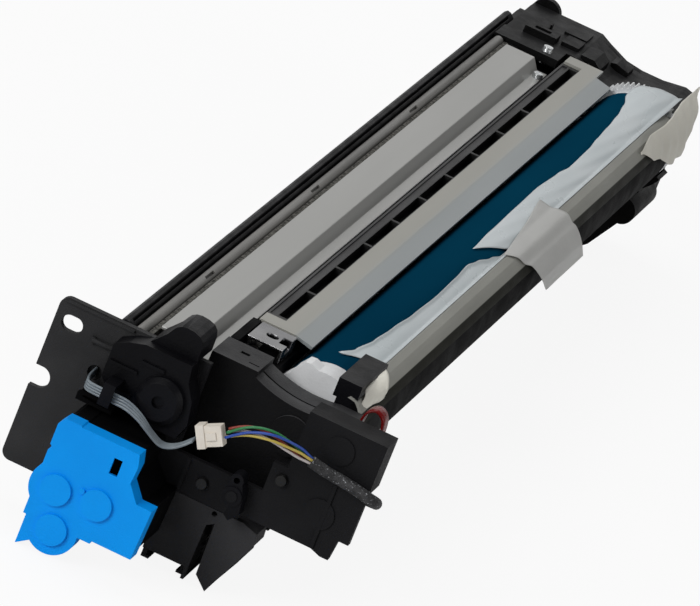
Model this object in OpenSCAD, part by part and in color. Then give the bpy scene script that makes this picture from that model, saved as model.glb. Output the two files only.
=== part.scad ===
// Drum and developer unit of a colour copier. X points right, Y to the rear, Z up.
// Lengths are in millimetres. Heights are taken from the top edge of the front plate.

/* [Drum] */
// Radius of the drum tube
drum_r = 15; // [14:0.5:15.2]
// Wall of the drum tube
drum_wall = 0.8; // [0.6:0.1:1.5]
// Drum axis, from the left edge of the front plate
drum_x = 79.5; // [79:0.1:80]
// Depth of the drum axis below the plate's top edge
drum_depth = 14.5; // [14.3:0.1:15]
// Radius of the drum shaft
shaft_r = 3; // [2:0.25:3.5]
// Radial running clearance of shafts
run_gap = 0.05; // [0.02:0.01:0.09]

/* [Gears] */
// Module of the rear gear train
gear_m = 0.6; // [0.58:0.005:0.61]
// Width of the rear gears
gear_w = 6; // [4:0.5:6.5]
// Teeth of the drum gear
drum_teeth = 56; // [56]
// Teeth of the developer roller gear
dev_teeth = 22; // [22]
// Teeth of the lower auger gear
low_teeth = 36; // [36]
// Teeth of the upper auger gear
up_teeth = 28; // [28]
// Teeth of the waste idler gear
idler_teeth = 18; // [18]
// Teeth of the waste auger gear
waste_teeth = 14; // [14]
// Module of the relay gears under the cover
relay_m = 0.75; // [0.7:0.01:0.76]
// Teeth of the two upper relay gears
relay_teeth = 18; // [18]
// Teeth of the lower relay gear
low_relay_teeth = 16; // [16]

/* [Rollers] */
// Gap between drum and developer roller
dev_gap = 0.4; // [0.3:0.05:0.8]
// Radius of the charge roller
charge_r = 5.5; // [4.5:0.1:5.6]
// Gap between drum and charge roller
charge_gap = 0.1; // [0.05:0.05:0.3]
// Radius of the roller shafts
roller_shaft_r = 2.5; // [2:0.1:2.6]
// Radius of the mixing auger flights
auger_r = 8; // [7:0.1:8.2]
// Pitch of the mixing auger flights
auger_pitch = 26; // [24:1:40]
// Radius of the waste auger flights
waste_r = 3.5; // [3:0.1:3.7]

/* [Body] */
// Length from the front plate's face to the rear cover's face
unit_len = 480; // [440:5:520]
// Depth of the whole unit below the plate's top edge
unit_depth = 68; // [67.9:0.1:70]
// Thickness of the front plate
plate_t = 2.5; // [2:0.1:3]
// Width of the front plate
plate_w = 111; // [109:0.5:114]
// Distance from the front plate's face to the end frame's face
frame_y = 12; // [11:0.5:14]
// Depth of the front end frame
frame_d = 18; // [17:0.5:20]
// Radius of the end frames' concave top edge
arc_r = 42; // [40:0.5:46]
// Thickness of the sheet-metal covers
sheet_t = 1; // [0.6:0.1:1.2]
// Wall of the drum trough
trough_wall = 1.6; // [1.2:0.1:1.8]
// Number of windows in the slotted frame
slots = 11; // [8:1:13]

/* [Front fittings] */
// Distance of the blue cover's face in front of the plate
cover_out = 31; // [29:0.5:33]
// Depth of the blue cover
cover_d = 6.5; // [6:0.1:7]
// Wall of the blue cover
cover_t = 1.2; // [1:0.1:1.6]
// Height of the round bosses on the blue cover
boss_h = 1.2; // [0.8:0.1:2]
// Length of the toner shutter
shutter_len = 20; // [18:0.5:22]

/* [Hidden] */
$fn = 64;
big = 200;

// Drum axis and the places of the rollers round it, as [x, z]
drum = [drum_x, -drum_depth];
function polar(from, angle, d) = from + d * [cos(angle), sin(angle)];
function centres(m, a, b) = m * (a + b) / 2;
dev_a = 200;
low_a = 217;
up_a = 130;
waste_a = 264;
charge_a = 252;
dev = polar(drum, dev_a, centres(gear_m, drum_teeth, dev_teeth));
low = polar(dev, low_a, centres(gear_m, dev_teeth, low_teeth));
up = polar(low, up_a, centres(gear_m, low_teeth, up_teeth));
idler = polar(drum, waste_a, centres(gear_m, drum_teeth, idler_teeth));
waste = polar(idler, waste_a, centres(gear_m, idler_teeth, waste_teeth));
charge = polar(drum, charge_a, drum_r + charge_r + charge_gap);
dev_r = centres(gear_m, drum_teeth, dev_teeth) - drum_r - dev_gap;
// Phase that brings a gear of n2 teeth into mesh with one of n1 teeth at phase p
function mesh(p, a, n1, n2) = a + 180 + 180 / n2 - (p - a) * n1 / n2;
drum_p = 0;
dev_p = mesh(drum_p, dev_a, drum_teeth, dev_teeth);
low_p = mesh(dev_p, low_a, dev_teeth, low_teeth);
up_p = mesh(low_p, up_a, low_teeth, up_teeth);
idler_p = mesh(drum_p, waste_a, drum_teeth, idler_teeth);
waste_p = mesh(idler_p, waste_a, idler_teeth, waste_teeth);

// Relay gears under the blue cover
relay_a = [26.2, -46.7];
relay_right_a = 5;
relay_low_a = -75;
relay_right = polar(relay_a, relay_right_a, centres(relay_m, relay_teeth, relay_teeth));
relay_low = polar(relay_a, relay_low_a, centres(relay_m, relay_teeth, low_relay_teeth));
relay_pin_r = 2;

// Stations along the unit
case_y0 = frame_y + frame_d;
rear_y1 = unit_len;
cover_rear_t = 4;
rear_y0 = unit_len - 39;
web_t = 4;
gear_y0 = rear_y0 - 3 - gear_w;
case_y1 = rear_y0 - 14;
wall_end = 3;
tube_y0 = case_y0 + 17;
tube_y1 = gear_y0 - 1.4;
strip_y1 = rear_y0 - 19;

// Heights of the decks that the covers sit on
deck = -5;
rail_deck = -4;
trough_in = drum_r + 0.6;
trough_out = trough_in + trough_wall;
lean = 26;
auger_hole = auger_r + 0.8;
charge_hole = charge_r + 0.7;
waste_hole = waste_r + 0.5;
base_z = -unit_depth;
front_y = -cover_out - boss_h;
coupling_y1 = unit_len + 5;
centre_x = plate_w / 2;
centre_y = (front_y + coupling_y1) / 2;
arc_low = -5.4;
arc_x = 79.6;

// Places the model with its origin under the middle of its box
module place() translate([-centre_x, -centre_y, -base_z]) children();
// Extrudes an outline drawn in X and Z from y0 to y1
module prof(y0, y1) translate([0, y1, 0]) rotate([90, 0, 0]) linear_extrude(y1 - y0) children();
// Round bar along Y, centred on p = [x, z]
module rod(p, r, y0, y1) translate([p[0], y1, p[1]]) rotate([90, 0, 0]) cylinder(r = r, h = y1 - y0);
module box(a, b) translate(a) cube(b - a);
// Draws children in the leaning frame of the cleaner's outer wall, centred on the drum axis
module leaning(y0, y1) prof(y0, y1) translate(drum) rotate(-lean) children();

// Gear outline with straight-sided teeth and some backlash
module gear2d(n, m) {
    r = n * m / 2;
    tip = r + 0.8 * m;
    root = r - 1.25 * m;
    step = 90 / n;
    polygon([for (i = [0:n - 1], k = [[-1.35, root], [-0.42, tip], [0.42, tip], [1.35, root]])
        k[1] * [cos(360 * i / n + k[0] * step), sin(360 * i / n + k[0] * step)]]);
}
module gear(p, n, m, phase, y0, y1) prof(y0, y1) translate(p) rotate(phase) gear2d(n, m);

// Concave arc that clears the roller above the unit
module arc_cut(y0, y1, extra = 0) intersection() {
    rod([arc_x, arc_low + arc_r], arc_r + extra, y0, y1);
    box([63, y0, -big], [arc_x + 13, y1, big]);
}

// Front end

screw_a = [84.5, -24];
screw_b = [62, -36];
lever_p = [73, -33.6];
pin_r = 1.8;
block_d = frame_y;
seat_y = frame_y + 1.6;
block_x = 84.7;
block_z = -16.2;

module plate_outline() {
    polygon([[3, 0], [50.8, 0], [50.8, -30], [80, -30], [80, -19.8], [block_x, -19.8],
        [block_x, block_z - 0.2], [plate_w, block_z - 0.2], [plate_w, -34.3], [plate_w - 3.4, -34.3],
        [plate_w - 4.2, -41.4], [plate_w - 7, -41.4], [plate_w - 10.5, -40.2], [77, -40.2],
        [76, -42], [51.6, -42], [51.6, -56.6], [3, -56.6], [0, -53.6], [0, -3]]);
    for (z = [-3, -53.6]) translate([3, z]) circle(3);
}
module front_plate() color([0.2, 0.2, 0.21]) place() difference() {
    union() {
        prof(0, plate_t) plate_outline();
        difference() {
            box([block_x, 0, block_z - 0.4], [plate_w, block_d, 0]);
            box([87, 2.2, block_z - 1], [plate_w - 2.2, block_d - 1.8, -2.2]);
        }
        rod([(block_x + plate_w) / 2, -7.5], 4.6, -0.5, 1);
        rod([plate_w - 12, -29], 5, -0.5, 1);
        translate([13.8, -0.7, -8.9]) rotate([0, 90, 0]) cylinder(r = 0.9, h = 7.2);
        for (x = [13.4, 20.2]) box([x, -1.2, -10], [x + 1.2, 0.2, -7.8]);
        prof(-1, 0) polygon([[1.5, -1.2], [25, -1.2], [25, -0.4], [2.5, -0.4]]);
        for (p = [screw_a, screw_b]) rod(p, 3.6, 0, frame_y);
        rod(lever_p, pin_r, -7, 1);
        box([55, -0.8, -41.8], [56.2, 0, -30.2]);
        box([plate_w - 11, -0.6, -40], [plate_w - 9.8, 0, -18]);
    }
    for (x = [5, 6.9]) rod([x, -7.5], 2.6, -2, plate_t + 1);
    box([5, -2, -10.1], [6.9, plate_t + 1, -4.9]);
    rod([2.4, -27.6], 3.5, -2, plate_t + 1);
    box([-1, -2, -31.1], [2.4, plate_t + 1, -24.1]);
    rod([18, -18.6], 2.4, -2, plate_t - 0.6);
    for (p = [screw_a, screw_b]) rod(p, screw_r, -2, frame_y + 1);
}

module housing_face() polygon([[22, -4], [26.5, -1.5], [31.5, 0.05], [47.2, 0.05], [48.1, -5.5],
    [51.2, -10.7], [52.5, -18], [50.5, -23.6], [38, -23.6], [31, -21], [25, -18.5], [22, -15]]);
module front_housing() color([0.13, 0.13, 0.15]) place() {
    difference() {
        union() {
            prof(-9, 0) housing_face();
            prof(-4, frame_y) polygon([[31.5, 0.05], [33, 1.6], [34.4, 3.2], [35.6, 4.6], [36.5, 6.2], [37.4, 7.6],
                [38.8, 8.5], [40.6, 8.8], [43, 8.6], [45.2, 7.9], [46.5, 6.6], [47.1, 4.6], [47.2, 0.05]]);
            box([25.6, -18.4, -20.6], [29.4, -17.2, -13.2]);
            box([25.6, -18.4, -14.4], [29.4, -8.5, -13.2]);
            translate([42, -9, -14]) rotate([90, 0, 0]) {
                cylinder(r = 7.6, h = 2);
                translate([0, 0, 2]) cylinder(r1 = 7.6, r2 = 6, h = 1.6);
            }
            box([22.8, -10, -9.8], [32.2, -9, -8.8]);
            box([32.3, -10, -5.8], [40, -9, -4.8]);
            box([27, -10, -17.6], [33, -9, -16.8]);
        }
        rod([42, -14], 2, -14, -11);
        box([36.8, 2, -1], [45, frame_y - 2, 5.6]);
    }
}

module frame_outline() polygon([[19, rail_deck], [29.8, rail_deck], [29.8, deck], [47.3, deck], [47.3, 0],
    [arc_x + 5.6, 0], [arc_x + 5.6, -4.6], [96.2, -4.6], [96.8, -18], [95, -22.2],
    [84.4, -45.6], [67, -45.6], [58.5, -44], [37.5, -44], [33, -37], [20.6, -22], [19, -10]]);
module front_frame() color([0.16, 0.16, 0.18]) place() difference() {
    union() {
        prof(frame_y, case_y0) frame_outline();
        rod(drum, 6.6, frame_y - 0.8, frame_y + 1);
    }
    arc_cut(frame_y - 1, case_y0 + 1);
    arc_cut(frame_y + 7.6, frame_y + 8.6, 0.8);
    rod(drum, bearing_r + 0.02, seat_y, case_y0 + 1);
    rod(drum, 7.8, seat_y + web_t, case_y0 + 1);
    box([50, frame_y + web_t, -40], [60, case_y0 + 1, -6.5]);
    box([24, frame_y + web_t, -20], [46, case_y0 + 1, -8]);
    box([54, frame_y + 9, -1.2], [57, frame_y + 11, 1]);
    box([58.5, frame_y + 4, -0.8], [62, frame_y + 4.8, 1]);
    for (p = [screw_a, screw_b]) rod(p, screw_r, frame_y - 1, frame_y + 5);
}

// Outline of the blue cover, drawn smaller by i
module cover_outline(i) {
    translate(relay_a) circle(8.9 - i);
    translate(relay_low) circle(8.2 - i);
    polygon([[19.3 + i, -58 + i], [42 - i, -58 + i], [46.6 - i, -38], [47.3 - i, -29], [46.3 - i, -24.9 - i],
        [26.8, -24.9 - i], [26.4, -24.5 - i], [21 + i, -24.5 - i], [19.3 + i, -27]]);
    polygon([[38 + i, -57 + i], [55.5 - i, -57 + i], [56.2 - i, -40 - i], [51 + i / 2, -40 - i],
        [46.8 - i, -34.5], [38 + i, -34.5]]);
    polygon([[20.3 + i, base_z + i], [24.6 - i, base_z + 3 + i], [28, -64 + i], [28, -56], [20.3 + i, -56]]);
}
relay_y0 = -cover_out + cover_t + 0.8;
relay_y1 = -cover_out + cover_d - 0.3;
module gear_case() color([0.12, 0.12, 0.13]) place() difference() {
    union() {
        prof(-cover_out + cover_d, 0) cover_outline(0.8);
        for (p = [relay_a, relay_right, relay_low])
            rod(p, relay_pin_r, -cover_out + cover_t + 0.3, -cover_out + cover_d + 1);
    }
    box([24, -cover_out + cover_d + 3, -54], [44, 1, -30]);
}
module blue_cover() color([0, 0.58, 0.9]) place() difference() {
    union() {
        prof(-cover_out, -cover_out + cover_d) cover_outline(0);
        for (p = [relay_a, relay_right, relay_low]) rod(p, 5, front_y, -cover_out + 0.5);
        rod([34, -43.4], 0.9, front_y + 0.4, -cover_out + 0.5);
    }
    prof(-cover_out + cover_t, -cover_out + cover_d + 1) cover_outline(cover_t);
    box([39.4, -cover_out - 2, -34.6], [42.2, -cover_out + cover_t + 1, -29.2]);
    rod([19, -35], 1, -cover_out - 1, -cover_out + cover_d + 1);
}
module relay_gear(p, n, phase) color([0.85, 0.85, 0.83]) place() difference() {
    union() {
        gear(p, n, relay_m, phase, relay_y0 + 0.7, relay_y1 - 0.4);
        rod(p, 3.4, relay_y0, relay_y1);
    }
    rod(p, relay_pin_r + run_gap, relay_y0 - 1, relay_y1 + 1);
}

duct_d = 30;
duct_top = -52;
port_y = 13;
port_len = 14;
shutter_y0 = port_y + (port_len - shutter_len) / 2;
module duct_outline() polygon([[52, duct_top], [79, duct_top], [79.2, -59.5], [75, base_z], [70.6, -64],
    [70.2, -54], [67.8, -54], [67.4, -67.4], [66.4, -67.4], [66.4, -63.4], [52, -63.4]]);
module duct_face() polygon([[52, -42.2], [66.5, -42.2], [78.2, -42.2], [83.6, -43.8], [83.9, -47.9],
    [79.2, -58.5], [75, base_z], [70.6, -64], [70.2, -46.5], [67.8, -48], [67.4, -67.4],
    [66.4, -67.4], [66.4, -63.4], [52, -63.4]]);
module toner_duct() color([0.2, 0.2, 0.21]) place() difference() {
    union() {
        prof(plate_t, frame_y - 0.2) duct_face();
        prof(frame_y - 0.2, duct_d) duct_outline();
        prof(0, plate_t) intersection() {
            duct_face();
            translate([51.8, base_z]) square([big, 25.8]);
        }
        prof(2, duct_d) polygon([[52, -63.4], [52, -67], [54.6, -67], [54.6, -66.1], [53.5, -66.1], [53.5, -63.4]]);
        prof(2, duct_d) polygon([[66.4, -63.4], [66.4, -67], [64, -67], [64, -66.1], [65.1, -66.1], [65.1, -63.4]]);
    }
    box([55.5, port_y, -64], [63.5, port_y + port_len, -53.5]);
    rod([69, -43.6], 0.9, -1, 3);
}
module toner_shutter() color([0.3, 0.3, 0.31]) place() {
    box([53.8, shutter_y0, -65.8], [64.8, shutter_y0 + shutter_len, -63.6]);
    box([58, shutter_y0, -67], [60.5, shutter_y0 + 2, -65.7]);
}

module lock_lever() color([0.17, 0.17, 0.18]) place() difference() {
    union() {
        prof(-6, -0.4) polygon([[70.6, -28], [74.6, -28.6], [76.4, -33], [77, -38.6], [74.4, -41.4], [72.6, -40],
            [73, -37], [69.8, -34]]);
        rod([72.6, -28.4], 2.2, -6, -0.4);
        rod(lever_p, 3.2, -6.6, -0.4);
    }
    rod(lever_p, pin_r + run_gap, -8, 1);
    rod([72.6, -28.4], 1, -8, 1);
}

module cable_clip() color([0.1, 0.1, 0.11]) place() {
    prof(-12, 0) polygon([[17.6, -24.4], [29.6, -24.4], [29.6, -23.4], [24, -23.4], [19, -22.8], [17.6, -22.8]]);
    prof(-12, -10.4) polygon([[17.6, -22.9], [19, -22.9], [20, -22.2], [27, -22.2], [27, -21.1], [19.2, -21.1],
        [17.6, -21.8]]);
}

// Leads on the front, swept along points chosen by eye: [x, y, z]
function unit(v) = v / norm(v);
function tangent(p, i) = unit(p[min(i + 1, len(p) - 1)] - p[max(i - 1, 0)]);
function side(t) = unit(cross(t, [0, 0, 1]));
function ring(c, t, w, h, k) = let(s = side(t), n = cross(s, t))
    [for (j = [0:k - 1]) c + s * w * cos(360 * j / k + 180 / k) + n * h * sin(360 * j / k + 180 / k)];
// Closed skin over n rings of k points each
module skin(points, n, k) polyhedron(points, faces = concat(
    [[for (j = [0:k - 1]) j]],
    [for (i = [0:n - 2], j = [0:k - 1]) [i * k + j, (i + 1) * k + j, (i + 1) * k + (j + 1) % k]],
    [for (i = [0:n - 2], j = [0:k - 1]) [i * k + j, (i + 1) * k + (j + 1) % k, i * k + (j + 1) % k]],
    [[for (j = [k - 1:-1:0]) (n - 1) * k + j]]));
module sweep(p, w, h, k = 8)
    skin([for (i = [0:len(p) - 1]) each ring(p[i], tangent(p, i), w, h, k)], len(p), k);
ribbon_route = [[18, 1.6, -18.6], [18, -3, -18.6], [18.4, -8, -18.8], [20, -13, -18.4], [24, -15, -18],
    [29, -15.5, -17.8], [34, -16, -17.8], [39, -16.2, -19.4], [44, -16.2, -22.4], [48.5, -15, -24.8],
    [52.8, -14, -23.4], [56.8, -13, -19.6]];
wire_ends = [[-0.6, -1.8], [-0.6, 0], [-0.6, 1.8], [0.6, -0.9], [0.6, 0.9]];
wire_route = [[65.4, -12, -13.6], [68.5, -12.5, -11.2], [72, -13, -9.2], [76, -13, -8.2], [80, -12.2, -8.2],
    [84, -10.6, -9.2], [88, -8, -10.8], [91, -6, -12.2]];
sleeve_route = [[91.5, -5.7, -12.4], [95, -4.4, -13.6], [99, -3.4, -14.5], [103, -3, -15], [107, -2.8, -15.6],
    [110.6, -2.4, -16.4], [113, -0.8, -17.4], [113.8, 2, -18.6], [113.2, 5, -19.8], [111, 7, -20.6],
    [107, 7.8, -21], [103, 7.8, -21.3], [99.5, 7.8, -21.5], [96, 8, -21.7], [93.8, 8.9, -21.8],
    [92.9, 10.2, -21.8], [92.6, 11.3, -21.8]];
sleeve_r = 1.9;
module ribbon_lead() color([0.48, 0.52, 0.55]) place() sweep(ribbon_route, 0.5, 2);
module colour_wires() color([0.6, 0.3, 0.3]) place()
    for (e = wire_ends) sweep([for (p = wire_route) p + [0, e[0], e[1] * max(0.58, min(1, (93 - p[0]) / 18))]], 0.45, 0.45);
module wire_sleeve() color([0.2, 0.2, 0.21]) place() sweep(sleeve_route, sleeve_r, sleeve_r);
module lead_connector() color([0.88, 0.85, 0.8]) place() {
    translate([61.2, -12, -16.2]) rotate([0, -28, 0]) union() {
        cube([7.6, 4.2, 6.4], center = true);
        translate([-3, 0, 0]) cube([2.6, 5, 7.4], center = true);
        translate([0.4, -2.2, 0]) cube([3.2, 0.8, 2.4], center = true);
    }
}

// Long strips along the top

module outer_rail() color([0.12, 0.12, 0.13]) place() difference() {
    prof(plate_t + 0.5, case_y1 + 30) polygon([[19, rail_deck], [23, rail_deck], [23, -1.4], [21.6, 0], [20.2, 0.4],
        [19, -0.6]]);
    box([21.6, plate_t + 5, -1.9], [22.2, case_y1 + 25, 1]);
}
function rail_slot_y(i) = case_y0 + (case_y1 - case_y0) * (0.1 + 0.3 * i);
module guide_rail() color([0.5, 0.49, 0.47]) place() difference() {
    union() {
        box([24, plate_t + 0.5, rail_deck], [27.6, case_y1, -1.8]);
        intersection() {
            rod([25.8, -1.8], 1.8, plate_t + 0.5, case_y1);
            box([23, 0, -1.8], [28, case_y1 + 1, 1]);
        }
    }
    for (i = [0:2]) box([26, rail_slot_y(i), -1.2], [27, rail_slot_y(i) + 9, 1]);
}
module felt_strip() color([0.36, 0.35, 0.33]) place() box([27.9, plate_t + 0.5, rail_deck], [29.5, case_y1, -1.2]);
module cover_plate() color([0.73, 0.73, 0.71]) place() difference() {
    prof(frame_y + 0.5, strip_y1) polygon([[29.8, 0], [40.6, 0], [43.2, deck + sheet_t], [47, deck + sheet_t],
        [47, deck], [42.8, deck], [40.2, -sheet_t], [29.8, -sheet_t]]);
    translate([plate_screw[0], plate_screw[1], -20]) cylinder(r = screw_r, h = 40);
}
slot_y0 = 69;
slot_y1 = rear_y0 - 11;
slot_pitch = (slot_y1 - slot_y0) / slots;
slot_top = -sheet_t;
module slot_frame() color([0.2, 0.2, 0.21]) place() difference() {
    box([48.9, slot_y0 - 6, deck], [59.4, slot_y1 + 4, slot_top]);
    for (i = [0:slots - 1]) box([52.3, slot_y0 + i * slot_pitch + 0.8, deck - 1],
        [55.3, slot_y0 + (i + 1) * slot_pitch - 0.8, 1]);
    box([49.6, slot_y0, slot_top - 0.5], [51.6, slot_y1, 1]);
}
guard_y0 = 57;
module guard_plate() color([0.71, 0.7, 0.66]) place() difference() {
    union() {
        box([49.4, guard_y0, -sheet_t], [62.2, rear_y0 - 1, 0]);
        prof(guard_y0, gear_y0 - 2) polygon([[62.1, 0], [68.3, -1.3], [68.1, -1.3 - sheet_t], [62.1, -sheet_t]]);
    }
    box([48, slot_y0 - 4, -2], [56, slot_y1 + 2, 1]);
}
module contact_bracket() color([0.8, 0.8, 0.8]) place() difference() {
    prof(39, 55.5) polygon([[51, deck], [55, deck], [55, deck + sheet_t], [52, deck + sheet_t], [52, -1], [62, -1],
        [62, -5], [63, -5], [63, 0], [51, 0]]);
    translate([57, 47, -3]) cylinder(r = 2, h = 5);
    box([60, 44, -3], [64, 50, 1]);
}
module side_rail() color([0.62, 0.6, 0.55]) place() {
    difference() {
        intersection() {
            rod(drum, trough_out + 1, case_y0, case_y1);
            prof(case_y0, case_y1) polygon([drum, polar(drum, 22, 40), polar(drum, 46, 40)]);
        }
        rod(drum, trough_out, case_y0 - 1, case_y1 + 1);
    }
    prof(case_y0, case_y1) polygon([polar(drum, 45.8, trough_out + 1), polar(drum, 53.5, trough_in + 1.4),
        polar(drum, 54.4, trough_in + 0.3), polar(drum, 46.2, trough_out + 0.02)]);
}

// Housings

plate_screw = [45.35, strip_y1 - 8];
case_h = -44;
module developer_case() color([0.1, 0.1, 0.11]) place() difference() {
    union() {
        prof(case_y0, case_y1) polygon([[19, rail_deck], [29.8, rail_deck], [29.8, -sheet_t], [33, -sheet_t], [33, -8],
            [41, -8], [42.8, deck], [64.2, deck], [64.7, -9], dev, [56.5, dev[1]], [56.5, case_h], [37.5, case_h],
            [33, -37], [20.6, -22], [19, -10]]);
        box([47.6, case_y0 + 1, deck - 1], [50.4, guard_y0 - 1, -0.2]);
        for (y = [case_y0, case_y1 - wall_end]) rod(dev, 5, y, y + wall_end);
    }
    for (p = [up, low, dev]) rod(p, auger_hole, case_y0 + wall_end, case_y1 - wall_end);
    prof(case_y0 + wall_end, case_y1 - wall_end) translate((low + dev) / 2) rotate(low_a) square([12, 9], center = true);
    for (y = [case_y0 + wall_end, case_y1 - wall_end - 22]) prof(y, y + 22)
        translate((low + up) / 2) rotate(up_a) square([8, 10], center = true);
    for (p = [up, low, dev]) rod(p, roller_shaft_r + run_gap, case_y0 - 1, case_y1 + 1);
    translate([plate_screw[0], plate_screw[1], -12]) cylinder(r = screw_r, h = 20);
}
module cleaner_case() color([0.1, 0.1, 0.11]) place() difference() {
    union() {
        intersection() {
            rod(drum, trough_out, case_y0, case_y1);
            prof(case_y0, case_y1) polygon([drum, polar(drum, 46, 60), polar(drum, 0, 60), polar(drum, -lean - 3, 60)]);
        }
        prof(case_y0, case_y1) polygon([drum, polar(drum, -lean, trough_out),
            polar(polar(drum, -lean, trough_out), -90 - lean, 29), [79, -51.8], [72, -51.8], [65.2, -46], [65.2, -29]]);
    }
    rod(drum, trough_in, case_y0 - 1, case_y1 + 1);
    rod(charge, charge_hole, case_y0 + wall_end, case_y1 - wall_end);
    rod(waste, waste_hole, case_y0 + wall_end, case_y1 - wall_end);
    rod(waste, waste_shaft_r + run_gap, case_y0 - 1, case_y1 + 1);
    leaning(case_y0 + wall_end, case_y1 - wall_end)
        polygon([[8.6, -13], [trough_in, 0], [trough_in, -24], [12, -28], [9, -26.5], [8, -20]]);
    for (y = [case_y0 + 6.5, case_y1 - 6.5]) spring_at(y, 5) cylinder(r = spring_r + 0.3, h = 6);
}

// Rollers and augers

module developer_roller() color([0.55, 0.55, 0.56]) place() {
    rod(dev, dev_r, case_y0 + 15, case_y1 - 5);
    rod(dev, roller_shaft_r, case_y0 + 0.5, gear_y0 + gear_w);
}
module train_gear(p, n, phase, shaft) color([0.85, 0.85, 0.83]) place() difference() {
    gear(p, n, gear_m, phase, gear_y0, gear_y0 + gear_w);
    rod(p, shaft + 0.02, gear_y0 - 1, gear_y0 + gear_w + 1);
}
module doctor_blade() color([0.7, 0.7, 0.7]) place()
    box([56.5, case_y0 + 4, case_h], [58.3, case_y1 - 4, dev[1] - dev_r - 0.5]);
// Helical flight round a thin core
module auger(p, r, core, pitch, y0, y1) {
    slices = round(8 * (y1 - y0) / pitch);
    bar = concat([for (a = [45:54:315]) [core, a]], [[r, 348], [r, 372]]);
    skin([for (i = [0:slices], b = bar) let(a = b[1] + 360 * (y1 - y0) / pitch * i / slices)
        [p[0] + b[0] * cos(a), y0 + (y1 - y0) * i / slices, p[1] - b[0] * sin(a)]], slices + 1, len(bar));
}
module mixing_auger(p) color([0.3, 0.3, 0.32]) place() {
    auger(p, auger_r, roller_shaft_r + 0.6, auger_pitch, case_y0 + wall_end + 2, case_y1 - wall_end - 2);
    rod(p, roller_shaft_r, case_y0 + 0.5, case_y0 + wall_end + 2);
    rod(p, roller_shaft_r, case_y1 - wall_end - 2, gear_y0 + gear_w);
}
waste_shaft_r = 1.6;
module waste_auger() color([0.3, 0.3, 0.32]) place() {
    auger(waste, waste_r, waste_shaft_r + 0.2, 30, case_y0 + wall_end + 2, case_y1 - wall_end - 2);
    rod(waste, waste_shaft_r, case_y0 + 0.5, case_y0 + wall_end + 2);
    rod(waste, waste_shaft_r, case_y1 - wall_end - 2, gear_y0 + gear_w);
}
idler_pin_r = 1.5;
module charge_roller() color([0.15, 0.15, 0.16]) place() {
    rod(charge, charge_r, case_y0 + 12, case_y1 - 12);
    rod(charge, roller_shaft_r, case_y0 + wall_end + 0.5, case_y1 - wall_end - 0.5);
}
module charge_bearings() color([0.8, 0.8, 0.78]) place()
    for (y = [case_y0 + 4, case_y1 - 9]) difference() {
        rod(charge, charge_hole - 0.2, y, y + 5);
        rod(charge, roller_shaft_r + run_gap, y - 1, y + 6);
        rod(drum, drum_r + 0.3, y - 1, y + 6);
    }
spring_r = 1.7;
// Draws children from the charge roller's axis outwards, away from the drum, starting at d
module spring_at(y, d) translate([charge[0], y, charge[1]]) rotate([0, 90 - charge_a, 0])
    translate([0, 0, d]) children();
module charge_springs() color([0.7, 0.7, 0.7]) place()
    for (y = [case_y0 + 6.5, case_y1 - 6.5]) spring_at(y, charge_hole + 0.1)
        sweep([for (i = [0:20]) [(spring_r - 0.25) * cos(i * 60), (spring_r - 0.25) * sin(i * 60), 0.4 + i * 0.17]],
            0.22, 0.22, 5);
module cleaning_blade() color([0.75, 0.62, 0.4]) place() leaning(case_y0 + 6, case_y1 - 6)
    translate([13.8, -16]) square([1, 9.86]);
module blade_holder() color([0.7, 0.7, 0.71]) place() leaning(case_y0 + 6, case_y1 - 6)
    translate([14.8, -21]) square([trough_in - 14.8, 12]);

// Drum

plug_r = drum_r - drum_wall - 0.02;
module drum_tube() color([0.05, 0.3, 0.4]) place() difference() {
    rod(drum, drum_r, tube_y0, tube_y1);
    rod(drum, drum_r - drum_wall, tube_y0 - 1, tube_y1 + 1);
}
module drum_flange() color([0.88, 0.88, 0.88]) place() difference() {
    union() {
        rod(drum, drum_r - 0.2, tube_y0 - 4, tube_y0);
        rod(drum, plug_r, tube_y0 - 1, tube_y0 + 6);
    }
    rod(drum, shaft_r + 0.02, tube_y0 - 5, tube_y0 + 7);
}
module drum_gear() color([0.88, 0.88, 0.9]) place() difference() {
    union() {
        rod(drum, plug_r, tube_y1 - 6, tube_y1 + 0.5);
        rod(drum, drum_r - 0.2, tube_y1, gear_y0 + 0.2);
        gear(drum, drum_teeth, gear_m, drum_p, gear_y0, gear_y0 + gear_w);
        rod(drum, 7, gear_y0 + gear_w - 0.5, gear_y0 + gear_w + 2);
    }
    rod(drum, shaft_r + 0.02, tube_y1 - 7, gear_y0 + gear_w + 3);
}
shaft_y0 = seat_y + 0.3;
shaft_y1 = rear_y0 + 21;
module drum_shaft() color([0.75, 0.75, 0.76]) place() rod(drum, shaft_r, shaft_y0, shaft_y1);
drive_bore_r = 4;
module drum_coupling() color([0.25, 0.25, 0.26]) place() difference() {
    union() {
        rod(drum, 6.4, rear_y0 + web_t + 1, coupling_y1);
        for (a = [0:120:240]) prof(rear_y0 + 31, coupling_y1) translate(drum) rotate(a)
            translate([5.4, -1.6]) square([1.7, 3.2]);
    }
    rod(drum, shaft_r + 0.02, rear_y0, shaft_y1 + 0.5);
    rod(drum, drive_bore_r, coupling_y1 - 14, coupling_y1 + 1);
}
bearing_r = 6;
module bearing(y) color([0.8, 0.78, 0.7]) place() difference() {
    rod(drum, bearing_r, y, y + web_t);
    rod(drum, shaft_r + run_gap, y - 1, y + web_t + 1);
}
module end_seal() color([0.92, 0.92, 0.93]) place() difference() {
    union() {
        rod(drum, trough_in - 0.1, case_y0 + 4, case_y0 + 11);
        prof(case_y0 + 4, case_y0 + 11) polygon([[67, -7], [69.4, -1.6], [71.8, 1.6], [73.7, 1.8], [82.5, -1.4], [84, -7]]);
    }
    rod(drum, shaft_r + run_gap, case_y0 + 3, case_y0 + 12);
    rod(charge, charge_hole + 0.2, case_y0 + 3, case_y0 + 12);
}

// Films, tape and small pieces at the drum

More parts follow.
